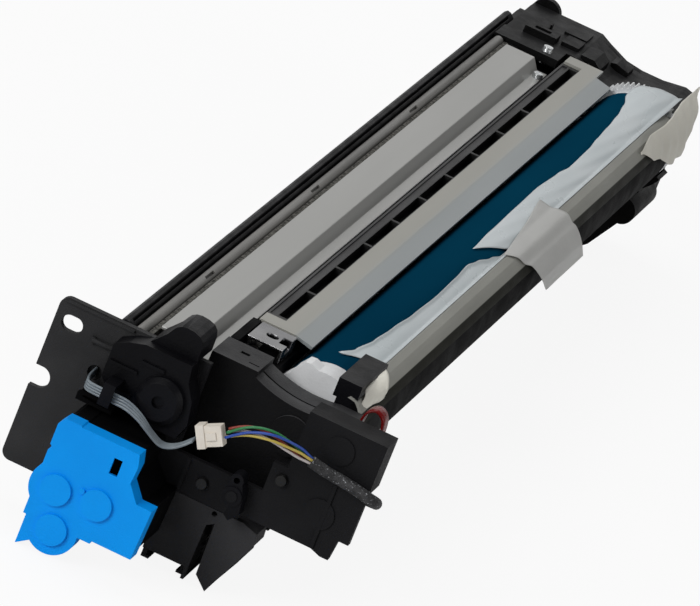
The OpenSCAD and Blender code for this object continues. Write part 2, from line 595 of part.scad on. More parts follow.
film_r = drum_r + 0.3;
module protective_film() color([0.82, 0.86, 0.88]) place() difference() {
    intersection() {
        rod(drum, film_r + 0.4, 62, case_y1 - 2);
        prof(62, case_y1 - 2) polygon([drum, polar(drum, 56.5, 40), polar(drum, 84, 40)]);
    }
    rod(drum, film_r, 60, case_y1);
}
tape_y = (case_y0 + case_y1) / 2 + 8.5;
module tape() color([0.78, 0.78, 0.76]) place() prof(tape_y - 31, tape_y + 31) polygon([polar(drum, 62, drum_r + 0.9),
    polar(drum, 54, trough_out + 0.4), polar(drum, 45, trough_out + 1.5), polar(drum, 36, trough_out + 1.7),
    [96.6, -5], [101.5, -11], [104, -17], [103.4, -17.2], [100.9, -11.4], polar(drum, 27, trough_out + 1.3),
    polar(drum, 36, trough_out + 1.2), polar(drum, 45, trough_out + 1.15),
    polar(drum, 54, trough_in + 1.7), polar(drum, 62, drum_r + 0.75)]);
module foil_flap() color([0.8, 0.78, 0.7]) place() prof(37, 38) polygon([polar(drum, 47, trough_out + 1.2), [94.4, 7.6],
    [97.4, 1.7], polar(drum, 27, trough_out + 1.2), polar(drum, 37, trough_out + 1.2)]);
module red_tab() color([0.6, 0.08, 0.08]) place() difference() {
    prof(18, 24) polygon([[96.9, -14], [99, -15], [104, -9], [104.6, -2], [101, 2.6], [98, 1.4], [97, -4]]);
    rod([101.3, -5], 2.2, 17, 25);
}
module end_film() color([0.8, 0.78, 0.68]) place() prof(rear_y0 + 3, rear_y1 - 2) polygon([[86.2, -4.4], [89.9, -5.2],
    [91.2, -8], [92.4, -16], [91.8, -25], [91.2, -25], [91.8, -16], [90.7, -8.2], [89.8, -5.9], [86.2, -4.9]]);
hook_y0 = case_y0 + 9;
module hook_block() color([0.1, 0.1, 0.12]) place()
    prof(hook_y0, hook_y0 + 22) polygon([[83, 1.4], [84, 3.2], [91, 2.6], polar(drum, 45, trough_out + 1.3),
        polar(drum, 54, trough_in + 1.6), [88, 0.9]]);

// Rear end

tail_outline = [[20, rail_deck], [23.2, rail_deck], [24, 0], [51, 0], [55, -2], [62.5, -5.2],
    [69, -6.1], [77, -6.1], [85.6, -4.9], [89.6, -6], [89.6, -44], [80, -60],
    [71, base_z], [24, base_z], [20, -62]];
cap_p = [29, -2.5];
module rear_frame() color([0.17, 0.17, 0.19]) place() difference() {
    union() {
        difference() {
            prof(rear_y0, rear_y1 - cover_rear_t) polygon(tail_outline);
            rod(drum, 7.8, rear_y0 + web_t, rear_y1);
            box([24, rear_y0 + web_t, base_z + 3], [64, rear_y1, -28]);
            box([24, rear_y0 + web_t, -25.5], [50, rear_y1, -3]);
        }
        box([23.4, gear_y0 - 3, -3], [47.6, rear_y0 + 1, 0]);
        rod(idler, idler_pin_r, gear_y0 - 0.5, rear_y0 + 1);
        box([30, rear_y0 + 2, -1], [42, rear_y0 + 9, 2.6]);
        box([33, rear_y0 + 9, -1], [36.5, rear_y0 + 20, 1.8]);
        box([43.5, rear_y0 + 6, -1], [50, rear_y0 + 16, 1.5]);
        box([41, rear_y0 + 20, -1], [49.5, rear_y0 + 30, 0.9]);
        prof(rear_y0 + 4, rear_y0 + 18) polygon([[52, -1], [58, -3.6], [60, -4.6], [60, -1.6], [57, 0.6], [52, 0.6]]);
        prof(rear_y0 + 22, rear_y0 + 31) polygon([[60, -4.6], [67, -6], [67, -4], [62, -2.6], [60, -3]]);
        difference() {
            intersection() {
                rod(drum, 19.4, gear_y0 - 2, rear_y0 + 1);
                prof(gear_y0 - 2, rear_y0 + 1) polygon([drum, polar(drum, -30, 60), polar(drum, -72, 60)]);
            }
            rod(drum, 18, gear_y0 - 3, rear_y0);
        }
        rod([88, -40], 5, gear_y0 - 2, rear_y0 + 20);
    }
    rod(drum, bearing_r + 0.02, rear_y0 - 1, rear_y1);
    box([36, rear_y0 + 15, -1.2], [40, rear_y0 + 17, 2]);
    box([68, rear_y0 + 12, -7], [74, rear_y0 + 15, 1]);
    box([33, rear_y0 + 4, 1.4], [39, rear_y0 + 7, 3]);
    translate([deck_screw[0], deck_screw[1], -5]) cylinder(r = screw_r, h = 10);
}
deck_screw = [42, gear_y0 + 2];
module rear_cover() color([0.15, 0.15, 0.17]) place() difference() {
    prof(rear_y1 - cover_rear_t, rear_y1) polygon(tail_outline);
    rod(drum, 7.8, rear_y1 - 10, rear_y1 + 1);
}
module bearing_cap() color([0.2, 0.2, 0.22]) place() {
    rod(cap_p, 5.5, rear_y1, rear_y1 + 3);
    rod(cap_p, 3.5, rear_y1 + 2.5, rear_y1 + 4.5);
}
screw_r = 1.25;
module pan_screw(length) {
    cylinder(r1 = 2.05, r2 = 1.7, h = 1.7);
    translate([0, 0, -length]) cylinder(r = screw_r - 0.05, h = length + 0.5);
}
module screws() color([0.8, 0.82, 0.82]) place() {
    translate([deck_screw[0], deck_screw[1], 0]) pan_screw(4.5);
    translate([plate_screw[0], plate_screw[1], deck + sheet_t]) pan_screw(4.5);
}
module front_screws() color([0.08, 0.08, 0.09]) place()
    for (p = [screw_a, screw_b]) translate([p[0], 0, p[1]]) rotate([90, 0, 0]) pan_screw(frame_y + 4.5);

front_plate();
front_housing();
front_frame();
gear_case();
blue_cover();
relay_gear(relay_a, relay_teeth, 0);  // relay_gear_left
relay_gear(relay_right, relay_teeth, mesh(0, relay_right_a, relay_teeth, relay_teeth));  // relay_gear_right
relay_gear(relay_low, low_relay_teeth, mesh(0, relay_low_a, relay_teeth, low_relay_teeth));  // relay_gear_lower
toner_duct();
toner_shutter();
lock_lever();
cable_clip();
ribbon_lead();
lead_connector();
colour_wires();
wire_sleeve();
outer_rail();
guide_rail();
felt_strip();
cover_plate();
slot_frame();
guard_plate();
contact_bracket();
side_rail();
developer_case();
cleaner_case();
developer_roller();
train_gear(dev, dev_teeth, dev_p, roller_shaft_r);  // developer_gear
doctor_blade();
mixing_auger(low);  // lower_auger
train_gear(low, low_teeth, low_p, roller_shaft_r);  // lower_auger_gear
mixing_auger(up);  // upper_auger
train_gear(up, up_teeth, up_p, roller_shaft_r);  // upper_auger_gear
charge_roller();
charge_bearings();
charge_springs();
cleaning_blade();
blade_holder();
waste_auger();
train_gear(waste, waste_teeth, waste_p, waste_shaft_r);  // waste_auger_gear
train_gear(idler, idler_teeth, idler_p, idler_pin_r + run_gap - 0.02);  // waste_idler
drum_tube();
drum_flange();
drum_gear();
drum_shaft();
drum_coupling();
bearing(seat_y);  // front_bearing
bearing(rear_y0);  // rear_bearing
end_seal();
protective_film();
tape();
foil_flap();
red_tab();
end_film();
hook_block();
rear_frame();
rear_cover();
bearing_cap();
screws();
front_screws();
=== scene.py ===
import bpy
import math
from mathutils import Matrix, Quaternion, Vector, noise


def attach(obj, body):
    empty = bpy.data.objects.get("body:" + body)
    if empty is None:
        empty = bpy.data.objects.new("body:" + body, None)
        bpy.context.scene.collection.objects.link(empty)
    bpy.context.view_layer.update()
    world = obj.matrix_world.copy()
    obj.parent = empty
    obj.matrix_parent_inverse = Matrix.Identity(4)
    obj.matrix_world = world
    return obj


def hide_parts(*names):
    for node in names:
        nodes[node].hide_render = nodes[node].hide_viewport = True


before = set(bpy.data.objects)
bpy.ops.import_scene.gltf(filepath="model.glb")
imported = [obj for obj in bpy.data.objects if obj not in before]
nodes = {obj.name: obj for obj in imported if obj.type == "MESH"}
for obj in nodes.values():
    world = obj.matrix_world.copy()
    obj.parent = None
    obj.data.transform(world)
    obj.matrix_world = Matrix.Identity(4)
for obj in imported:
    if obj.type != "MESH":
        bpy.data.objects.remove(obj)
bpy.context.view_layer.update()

# Camera: a long lens from the front right, a little above the unit, turned about its own axis
# as the photograph is.
bpy.ops.object.select_all(action="DESELECT")
bpy.ops.object.camera_add(location=(0.47546, -2.91088, 1.04476))
camera = bpy.context.object
camera.rotation_mode = "QUATERNION"
camera.rotation_quaternion = Quaternion((0.783713, 0.576849, -0.063718, 0.221315))
camera.data.sensor_width = 36
camera.data.lens = 488.57
camera.data.clip_start, camera.data.clip_end = 0.1, 20
bpy.context.scene.camera = camera
bpy.context.scene.view_settings.view_transform = "Standard"


# Leads on the front: a flat lead of four grey cores from the plate to a cream nylon connector,
# five thin PVC wires from there, and a black braided sleeve that takes them round the plate's
# right edge into the end frame.
def cloud_group():
    """Shader group: a mask of soft noise, stretched along the unit's length."""
    group = bpy.data.node_groups.new("cloud", "ShaderNodeTree")
    for label, value in (("Scale", 60.0), ("Stretch", 1.0), ("Low", 0.35), ("High", 0.65)):
        group.interface.new_socket(label, in_out="INPUT", socket_type="NodeSocketFloat").default_value = value
    group.interface.new_socket("Mask", in_out="OUTPUT", socket_type="NodeSocketFloat")
    ins = group.nodes.new("NodeGroupInput")
    outs = group.nodes.new("NodeGroupOutput")
    place = group.nodes.new("ShaderNodeTexCoord")
    squeeze = group.nodes.new("ShaderNodeCombineXYZ")
    squeeze.inputs[0].default_value = 1.0
    squeeze.inputs[2].default_value = 1.0
    along = group.nodes.new("ShaderNodeVectorMath")
    along.operation = "MULTIPLY"
    speckle = group.nodes.new("ShaderNodeTexNoise")
    speckle.inputs["Detail"].default_value = 4.0
    ramp = group.nodes.new("ShaderNodeMapRange")
    group.links.new(place.outputs["Object"], along.inputs[0])
    group.links.new(ins.outputs["Stretch"], squeeze.inputs[1])
    group.links.new(squeeze.outputs[0], along.inputs[1])
    group.links.new(along.outputs[0], speckle.inputs["Vector"])
    group.links.new(ins.outputs["Scale"], speckle.inputs["Scale"])
    group.links.new(speckle.outputs["Fac"], ramp.inputs["Value"])
    group.links.new(ins.outputs["Low"], ramp.inputs["From Min"])
    group.links.new(ins.outputs["High"], ramp.inputs["From Max"])
    group.links.new(ramp.outputs["Result"], outs.inputs["Mask"])
    return group


cloud = cloud_group()


def add_cloud(tree, scale, stretch=1.0, low=0.35, high=0.65):
    node = tree.nodes.new("ShaderNodeGroup")
    node.node_tree = cloud
    for label, value in (("Scale", scale), ("Stretch", stretch), ("Low", low), ("High", high)):
        node.inputs[label].default_value = value
    return node.outputs["Mask"]


def finish_mix(name, dark, light, rough, tone=(40.0, 1.0), grain=(1500.0, 1.0, 0.00006), metal=0.0,
               sheen_span=0.12, coat=0.0, specular=0.5, alpha=1.0):
    """Principled material with two cloudy tones, uneven roughness and a fine bump."""
    material = bpy.data.materials.new(name)
    material.use_nodes = True
    tree = material.node_tree
    shader = tree.nodes["Principled BSDF"]
    shader.inputs["Metallic"].default_value = metal
    shader.inputs["Coat Weight"].default_value = coat
    shader.inputs["Specular IOR Level"].default_value = specular
    shader.inputs["Alpha"].default_value = alpha
    mix = tree.nodes.new("ShaderNodeMix")
    mix.data_type = "RGBA"
    mix.inputs["A"].default_value = (*dark, 1)
    mix.inputs["B"].default_value = (*light, 1)
    tree.links.new(add_cloud(tree, *tone), mix.inputs["Factor"])
    tree.links.new(mix.outputs["Result"], shader.inputs["Base Color"])
    spread = tree.nodes.new("ShaderNodeMapRange")
    spread.inputs["To Min"].default_value = rough - sheen_span / 2
    spread.inputs["To Max"].default_value = rough + sheen_span / 2
    tree.links.new(add_cloud(tree, tone[0] * 3.3, tone[1]), spread.inputs["Value"])
    tree.links.new(spread.outputs["Result"], shader.inputs["Roughness"])
    bump = tree.nodes.new("ShaderNodeBump")
    bump.inputs["Distance"].default_value = grain[2]
    tree.links.new(add_cloud(tree, grain[0], grain[1], 0.2, 0.8), bump.inputs["Height"])
    tree.links.new(bump.outputs["Normal"], shader.inputs["Normal"])
    return material


def dress(material, *names):
    for name in names:
        nodes[name].data.materials.clear()
        nodes[name].data.materials.append(material)


def mm(x, y, z):
    """Point given from the front plate's top left corner, in millimetres, to the frame."""
    return Vector((x - 55.5, y - 226.4, z + 68)) / 1000


def smooth_route(points, steps=4):
    """Catmull-Rom line through the points."""
    line = []
    for i in range(len(points) - 1):
        a, b, c, d = (points[max(0, min(len(points) - 1, i + k))] for k in (-1, 0, 1, 2))
        for j in range(steps):
            t = j / steps
            line.append(0.5 * (2 * b + (c - a) * t + (2 * a - 5 * b + 4 * c - d) * t * t
                               + (3 * b - a - 3 * c + d) * t ** 3))
    return line + [points[-1]]


def laid_mesh(name, verts, faces):
    """New piece from its points and faces, left selected and active."""
    mesh = bpy.data.meshes.new(name)
    mesh.from_pydata(verts, [], faces)
    piece = bpy.data.objects.new(name, mesh)
    bpy.context.scene.collection.objects.link(piece)
    bpy.ops.object.select_all(action="DESELECT")
    piece.select_set(True)
    bpy.context.view_layer.objects.active = piece
    return piece


def tube_mesh(name, lines, radius, sides=10):
    """One mesh of closed tubes, one along each line."""
    verts, faces = [], []
    for line in lines:
        start = len(verts)
        for i, point in enumerate(line):
            ahead = (line[min(i + 1, len(line) - 1)] - line[max(i - 1, 0)]).normalized()
            side = ahead.cross(Vector((0, 0, 1))).normalized()
            up = side.cross(ahead)
            for k in range(sides):
                turn = 2 * math.pi * k / sides
                verts.append(point + radius * (math.cos(turn) * side + math.sin(turn) * up))
        for i in range(len(line) - 1):
            for k in range(sides):
                a, b = start + i * sides + k, start + i * sides + (k + 1) % sides
                faces.append((a, b, b + sides, a + sides))
        faces.append(tuple(range(start + sides - 1, start - 1, -1)))
        faces.append(tuple(range(len(verts) - sides, len(verts))))
    piece = laid_mesh(name, verts, faces)
    bpy.ops.object.mode_set(mode="EDIT")
    bpy.ops.mesh.select_all(action="SELECT")
    bpy.ops.mesh.normals_make_consistent(inside=False)
    bpy.ops.object.mode_set(mode="OBJECT")
    bpy.ops.object.shade_smooth()
    return piece


core_radius = 0.00043
core_places = (-1.5, -0.5, 0.5, 1.5)
ribbon_turn = math.radians(78)
turn_from, turn_over = 0.4, 0.3
ribbon_line = smooth_route([mm(*p) for p in (
    (18, 1.6, -18.6), (18, -3, -18.6), (18.4, -8, -18.8), (20, -13, -18.4), (24, -15, -18),
    (29, -15.5, -17.8), (34, -16, -17.8), (39, -16.2, -19.4), (44, -16.2, -22.4),
    (48.5, -15, -24.8), (52.8, -14, -23.4), (56.8, -13, -19.6))])
cores = []
for place in core_places:
    # the cores lie above each other at the plate and behind each other at the connector
    core = []
    for i, point in enumerate(ribbon_line):
        turn = ribbon_turn * min(1, max(0, i / len(ribbon_line) - turn_from) / turn_over)
        core.append(point + 2 * core_radius * place * Vector((0, math.sin(turn), math.cos(turn))))
    cores.append(core)
ribbon = tube_mesh("ribbon_cores", cores, core_radius)
ribbon.data.materials.append(finish_mix("grey_lead", (0.1, 0.12, 0.14), (0.2, 0.235, 0.26), 0.4,
                                        (90.0, 1.0)))
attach(ribbon, "frame")
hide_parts("ribbon_lead")
dress(finish_mix("cream_nylon", (0.66, 0.6, 0.52), (0.75, 0.7, 0.62), 0.5, (80.0, 1.0)), "lead_connector")

wire_points = ((65.4, -12, -13.6), (68.5, -12.5, -11.2), (72, -13, -9.2), (76, -13, -8.2),
               (80, -12.2, -8.2), (84, -10.6, -9.2), (88, -8, -10.8), (91, -6, -12.2),
               (94, -4.8, -13.2))
wire_radius = 0.00045
connector_x, bundle_length = 65.4, 28.6
bundle_depth, bundle_height, sleeved_height = 0.8, 1.6, 1.0
sleeve_x = 90
wire_pvc = (
    ("red", 0, (0.2, 0.03, 0.02), (0.28, 0.04, 0.025)),
    ("green", 72, (0.01, 0.14, 0.04), (0.02, 0.2, 0.06)),
    ("blue", 144, (0.01, 0.05, 0.28), (0.02, 0.07, 0.38)),
    ("yellow", 216, (0.42, 0.32, 0.05), (0.52, 0.4, 0.08)),
    ("white", 288, (0.4, 0.36, 0.36), (0.5, 0.46, 0.46)),
)
for colour, start, dark, light in wire_pvc:
    route = []
    for x, y, z in wire_points:
        # the five wires make half a turn about each other between the connector and the sleeve
        turn = math.radians(start - 180 * (x - connector_x) / bundle_length)
        height = bundle_height if x < sleeve_x else sleeved_height
        route.append(mm(x, y - bundle_depth * math.sin(turn), z + height * math.cos(turn)))
    wire_line = smooth_route(route)
    wire = tube_mesh("wire_" + colour, [wire_line], wire_radius, 8)
    wire.data.materials.append(finish_mix("pvc_" + colour, dark, light, 0.4, (90.0, 1.0)))
    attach(wire, "frame")
    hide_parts("colour_wires")

sleeve_radius = 0.0019
sleeve_line = smooth_route([mm(*p) for p in (
    (91.5, -5.7, -12.4), (95, -4.4, -13.6), (99, -3.4, -14.5), (103, -3, -15), (107, -2.8, -15.6),
    (110.6, -2.4, -16.4), (113, -0.8, -17.4), (113.55, 2, -18.6), (113.2, 5, -19.8), (111, 7, -20.6),
    (107, 7.8, -21), (103, 7.8, -21.3), (99.5, 7.8, -21.5), (96, 8, -21.7), (93.8, 8.9, -21.8),
    (92.9, 10.2, -21.8), (92.6, 11.3, -21.8))])
sleeve = tube_mesh("braided_sleeve", [sleeve_line], sleeve_radius, 16)
# pale flecks where single threads of the braid catch the light
braid = finish_mix("black_braid", (0.006, 0.006, 0.007), (0.03, 0.03, 0.032), 0.6, (500.0, 1.0),
                   (1800.0, 1.0, 0.0003))
fleck = braid.node_tree.nodes.new("ShaderNodeMix")
fleck.data_type = "RGBA"
fleck.inputs["B"].default_value = (0.35, 0.36, 0.38, 1)
plain = braid.node_tree.nodes["Mix"].outputs["Result"]
braid.node_tree.links.new(plain, fleck.inputs["A"])
braid.node_tree.links.new(add_cloud(braid.node_tree, 1500.0, 1.0, 0.63, 0.68), fleck.inputs["Factor"])
braid.node_tree.links.new(fleck.outputs["Result"],
                          braid.node_tree.nodes["Principled BSDF"].inputs["Base Color"])
sleeve.data.materials.append(braid)
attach(sleeve, "frame")
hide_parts("wire_sleeve")

# Plain pale floor under the unit, a dim even world, and large soft lamps: one above, one in
# front for the upright faces, one low behind for the dark tops and a weak one on the right.
bpy.ops.mesh.primitive_plane_add(size=12, location=(0, 0, -0.0002))
floor = bpy.context.object
floor.name = "floor"
paper = bpy.data.materials.new("pale_floor")
paper.use_nodes = True
tree = paper.node_tree
shader = tree.nodes["Principled BSDF"]
shader.inputs["Base Color"].default_value = (0.85, 0.85, 0.85, 1)
shader.inputs["Roughness"].default_value = 0.9
# the camera sees white paper, which keeps a trace of the unit's shadow
paper_share = 0.9
seen = tree.nodes.new("ShaderNodeLightPath")
white = tree.nodes.new("ShaderNodeEmission")
white.inputs["Strength"].default_value = 1.0
either = tree.nodes.new("ShaderNodeMath")
either.operation = "MAXIMUM"
lift = tree.nodes.new("ShaderNodeMath")
lift.operation = "MULTIPLY"
lift.inputs[1].default_value = paper_share
blend = tree.nodes.new("ShaderNodeMixShader")
out = tree.nodes["Material Output"]
tree.links.new(seen.outputs["Is Camera Ray"], either.inputs[0])
tree.links.new(seen.outputs["Is Transmission Ray"], either.inputs[1])
tree.links.new(either.outputs[0], lift.inputs[0])
tree.links.new(lift.outputs[0], blend.inputs["Fac"])
tree.links.new(shader.outputs[0], blend.inputs[1])
tree.links.new(white.outputs[0], blend.inputs[2])
tree.links.new(blend.outputs[0], out.inputs["Surface"])
floor.data.materials.append(paper)

world = bpy.data.worlds.new("studio")
bpy.context.scene.world = world
world.use_nodes = True
world.node_tree.nodes["Background"].inputs["Color"].default_value = (1, 1, 1, 1)
world.node_tree.nodes["Background"].inputs["Strength"].default_value = 0.18


def soft_lamp(name, place, size, power):
    bpy.ops.object.light_add(type="AREA", location=place)
    lamp = bpy.context.object
    lamp.name = name
    lamp.data.size = size
    lamp.data.energy = power
    lamp.rotation_mode = "QUATERNION"
    lamp.rotation_quaternion = (-Vector(place)).to_track_quat("-Z", "Y")


soft_lamp("above", (-0.7, 0.2, 2.0), 1.4, 15)
soft_lamp("front_left", (-1.3, -2.2, 1.2), 1.4, 44)
soft_lamp("low_behind", (-0.5, 2.6, 1.0), 2.2, 8)
soft_lamp("right", (2.2, -0.6, 1.1), 1.2, 12)


# Front mouldings: face plate, upper housing, end frame, duct, lever and clip in black
# glass-filled plastic, the plate greyer and finely grained, the housing smoother. Their edges
# have the small radius of the mould.
def shade_blend(material, first, second, start, end, axis="X", by="Object"):
    """Multiplies the colour by first before start and by second after end, along an axis of the
    place on the piece in plate millimetres, or of the surface's own direction."""
    tree = material.node_tree
    place = tree.nodes.new("ShaderNodeTexCoord")
    split = tree.nodes.new("ShaderNodeSeparateXYZ")
    ramp = tree.nodes.new("ShaderNodeMapRange")
    for label, value in (("From Min", start), ("From Max", end)):
        if by == "Object":
            value = getattr(mm(value, 0, value), axis.lower())
        ramp.inputs[label].default_value = value
    tone = tree.nodes.new("ShaderNodeMix")
    tone.data_type = "RGBA"
    tone.inputs["A"].default_value = (*first, 1)
    tone.inputs["B"].default_value = (*second, 1)
    own = tree.nodes.new("ShaderNodeMix")
    own.data_type = "RGBA"
    own.blend_type = "MULTIPLY"
    own.inputs["Factor"].default_value = 1.0
    tree.links.new(place.outputs[by], split.inputs[0])
    tree.links.new(split.outputs[axis], ramp.inputs["Value"])
    tree.links.new(ramp.outputs["Result"], tone.inputs["Factor"])
    tree.links.new(tree.nodes["Mix"].outputs["Result"], own.inputs["A"])
    tree.links.new(tone.outputs["Result"], own.inputs["B"])
    tree.links.new(own.outputs["Result"], tree.nodes["Principled BSDF"].inputs["Base Color"])
    return material


def mould_edges(width, *names):
    """Weld and Bevel on CAD nodes, so that their edges catch the light."""
    for name in names:
        weld = nodes[name].modifiers.new("weld", "WELD")
        weld.merge_threshold = 0.00001
        edge = nodes[name].modifiers.new("mould_radius", "BEVEL")
        edge.width = width
        edge.segments = 2
        edge.limit_method = "ANGLE"
        edge.angle_limit = math.radians(40)
        edge.use_clamp_overlap = True


plate_grain = (2200.0, 1.0, 0.0001)
frame_grain = (1600.0, 1.0, 0.0001)
rear_grain = (1600.0, 1.0, 0.00008)
painted_top_light_side_shade = (0.15, 0.6, "Z", "Normal")
front_black = finish_mix("front_black", (0.019, 0.019, 0.021), (0.031, 0.031, 0.033), 0.55,
                         (30.0, 1.0), plate_grain, specular=0.12)
# the plate is paler on its left and darker towards its right, from 26 to 46 mm
plate_black = shade_blend(
    finish_mix("plate_black", (0.021, 0.021, 0.022), (0.035, 0.035, 0.036), 0.55,
               (30.0, 1.0), plate_grain, specular=0.12),
    (1, 1, 1), (0.25, 0.25, 0.28), 26, 46)
housing_black = finish_mix("housing_black", (0.0015, 0.0015, 0.0022), (0.004, 0.004, 0.0055), 0.42,
                           (40.0, 1.0), specular=0.1)
# the end frames are painted lighter on faces that look up and darker on upright faces: painted light from
# above and painted shade on the sides
frame_black = shade_blend(
    finish_mix("frame_black", (0.01, 0.01, 0.0105), (0.02, 0.02, 0.021), 0.5,
               (35.0, 1.0), frame_grain, specular=0.12),
    (0.25, 0.25, 0.27), (2.6, 2.6, 2.6), *painted_top_light_side_shade)
# the rear frame, cover and cap are painted the same way: lighter on faces that look up and darker on upright
# faces, painted light and painted shade
rear_black = shade_blend(
    finish_mix("rear_black", (0.006, 0.006, 0.0062), (0.016, 0.016, 0.0165), 0.5,
               (60.0, 1.0), rear_grain, specular=0.1),
    (0.25, 0.25, 0.25), (1.6, 1.6, 1.6), *painted_top_light_side_shade)
case_black = finish_mix("case_black", (0.0012, 0.0012, 0.0015), (0.003, 0.003, 0.0034), 0.6,
                        (30.0, 1.0), specular=0.03)
dress(front_black, "toner_duct")
dress(plate_black, "front_plate")
dress(housing_black, "front_housing", "outer_rail", "lock_lever")
dress(frame_black, "front_frame", "toner_shutter", "drum_coupling", "front_bearing")
dress(rear_black, "rear_frame", "rear_cover", "bearing_cap")
dress(case_black, "gear_case", "cable_clip", "developer_case", "cleaner_case")
mould_edges(0.0003, "front_plate", "front_housing", "front_frame", "rear_frame", "rear_cover",
            "toner_duct", "outer_rail")

# Screws: two bright zinc-plated steel ones on the decks, and two blackened ones that hold the
# front plate to the end frame.
dress(finish_mix("screw_zinc", (0.62, 0.64, 0.65), (0.72, 0.74, 0.75), 0.22, (60.0, 1.0), metal=0.9),
      "screws")
dress(finish_mix("screw_black", (0.01, 0.01, 0.01), (0.02, 0.02, 0.02), 0.35, (60.0, 1.0), metal=0.6),
      "front_screws")

# Blue cover: one bright blue moulding over the three relay gears, with a smooth skin and
# slightly rounded edges.
dress(finish_mix("bright_blue", (0.0, 0.26, 0.78), (0.0, 0.3, 0.86), 0.42, (25.0, 1.0),
                 (1800.0, 1.0, 0.00004), specular=0.12), "blue_cover")
mould_edges(0.0004, "blue_cover")

# Gears, bearings and seals: white acetal, moulded, dry and ungreased. The drum's flange and
# gear are pressed into its tube.
acetal = finish_mix("white_acetal", (0.7, 0.71, 0.72), (0.8, 0.81, 0.82), 0.4, (60.0, 1.0))
dress(acetal, "relay_gear_left", "relay_gear_right", "relay_gear_lower", "developer_gear",
      "lower_auger_gear", "upper_auger_gear", "waste_auger_gear", "waste_idler", "drum_flange",
      "drum_gear", "rear_bearing", "end_seal", "charge_bearings")

# Long strips: a grey guide rail, dotted felt, folded zinc-plated cover, warm grey coated
# guard sheet, polished contact bracket and the beige seal rail beside the drum. The slotted
# frame is a grey pressed bar on its left, and its ladder on the right is painted near black as shade in its
# slots.
rolled = (900.0, 0.06, 0.00002)
dress(finish_mix("rail_grey", (0.13, 0.127, 0.12), (0.19, 0.185, 0.175), 0.45, (40.0, 0.2)), "guide_rail")
dress(finish_mix("felt", (0.02, 0.02, 0.018), (0.17, 0.165, 0.15), 0.9, (900.0, 1.0),
                 (900.0, 1.0, 0.0003), specular=0.1), "felt_strip")
dress(finish_mix("zinc_sheet", (0.4, 0.4, 0.385), (0.46, 0.46, 0.445), 0.42, (14.0, 0.1), rolled,
                 metal=0.5), "cover_plate")
# the sheet turns from warm grey to bluish grey from 61 to 63 mm: a painted reflection of the blue around it
dress(shade_blend(
    finish_mix("coated_sheet", (0.95, 0.95, 0.95), (1.0, 1.0, 1.0), 0.42, (14.0, 0.1), rolled, metal=0.3),
    (0.37, 0.365, 0.33), (0.34, 0.365, 0.37), 61, 63), "guard_plate")
# the ladder's right half, past 51.7 to 52.2 mm, is painted near black: painted shade in its slots
dress(shade_blend(
    finish_mix("pressed_bar", (0.8, 0.8, 0.8), (1.0, 1.0, 1.0), 0.45, (30.0, 0.2), specular=0.3),
    (0.03, 0.03, 0.031), (0.006, 0.006, 0.006), 51.7, 52.2), "slot_frame")
dress(finish_mix("polished_spring", (0.22, 0.22, 0.23), (0.34, 0.34, 0.34), 0.25, (60.0, 1.0),
                 (60.0, 1.0, 0.00001), metal=1.0), "contact_bracket")
# the rail is beige on top, and below the fold it is painted near black: painted shade under the fold
dress(shade_blend(
    finish_mix("beige_rail", (0.9, 0.9, 0.9), (1.0, 1.0, 1.0), 0.6, (60.0, 0.4), specular=0.05),
    (0.022, 0.022, 0.018), (0.3, 0.3, 0.275), -4.7, -4.4, "Z"), "side_rail")
mould_edges(0.00025, "guide_rail", "cover_plate", "guard_plate", "side_rail", "contact_bracket")
steel = finish_mix("ground_steel", (0.4, 0.4, 0.4), (0.52, 0.52, 0.52), 0.3, (90.0, 0.3), metal=0.9)
dress(steel, "doctor_blade", "blade_holder", "charge_springs", "drum_shaft")

# Rollers and augers inside the housings: blasted sleeve, grey mouldings, conductive rubber
# and the amber wiping blade.
dress(finish_mix("blasted_sleeve", (0.2, 0.2, 0.21), (0.3, 0.3, 0.31), 0.55, (200.0, 1.0), metal=0.6),
      "developer_roller")
dress(finish_mix("auger_grey", (0.05, 0.05, 0.055), (0.09, 0.09, 0.1), 0.5),
      "lower_auger", "upper_auger", "waste_auger")
dress(finish_mix("roller_rubber", (0.012, 0.012, 0.013), (0.025, 0.025, 0.026), 0.75), "charge_roller")
dress(finish_mix("amber_blade", (0.42, 0.26, 0.08), (0.52, 0.34, 0.12), 0.45), "cleaning_blade")

# Drum: an aluminium tube with a deep teal photoconductor coating, dipped, so that it is even
# and smooth from end to end.
dress(finish_mix("drum_teal", (0.001, 0.03, 0.062), (0.002, 0.047, 0.09), 0.35, (12.0, 0.3),
                 (300.0, 0.2, 0.00001), specular=0.0), "drum_tube")


# Protective film: two lengths of milky polyester film, laid on the drum by hand, with wavy
# free edges on the left. The far one laps over the near one and runs on over the drum gear.
def edge_at(knots, y):
    """Smooth value at y through the knots (y, value)."""
    for (y0, v0), (y1, v1) in zip(knots, knots[1:]):
        if y <= y1:
            t = max(0, (y - y0) / (y1 - y0))
            return v0 + (v1 - v0) * t * t * (3 - 2 * t)
    return knots[-1][1]


def thin_sheet(name, surface, across, along, thick):
    """Solid sheet over surface(s, t), whose s and t go from 0 to 1."""
    verts = [surface(i / across, j / along) for j in range(along + 1) for i in range(across + 1)]
    faces = []
    for j in range(along):
        for i in range(across):
            a = j * (across + 1) + i
            faces.append((a, a + 1, a + across + 2, a + across + 1))
    piece = laid_mesh(name, verts, faces)
    bpy.ops.object.shade_smooth()
    wall = piece.modifiers.new("thickness", "SOLIDIFY")
    wall.thickness = thick
    wall.offset = 0
    bpy.ops.object.modifier_apply(modifier="thickness")
    return piece


def milky(name, dark, light, rough, alpha, wrinkle):
    """Translucent plastic film with long wrinkles."""
    return finish_mix(name, dark, light, rough, (30.0, 0.4), wrinkle, alpha=alpha, sheen_span=0.1)


drum_axis = (79.5, -14.5)
drum_radius = 15.0


def round_drum(y, angle, lift):
    """Point at that angle round the drum's axis, in degrees, lifted off its surface."""
    a = math.radians(angle)
    r = drum_radius + lift
    return mm(drum_axis[0] + r * math.cos(a), y, drum_axis[1] + r * math.sin(a))


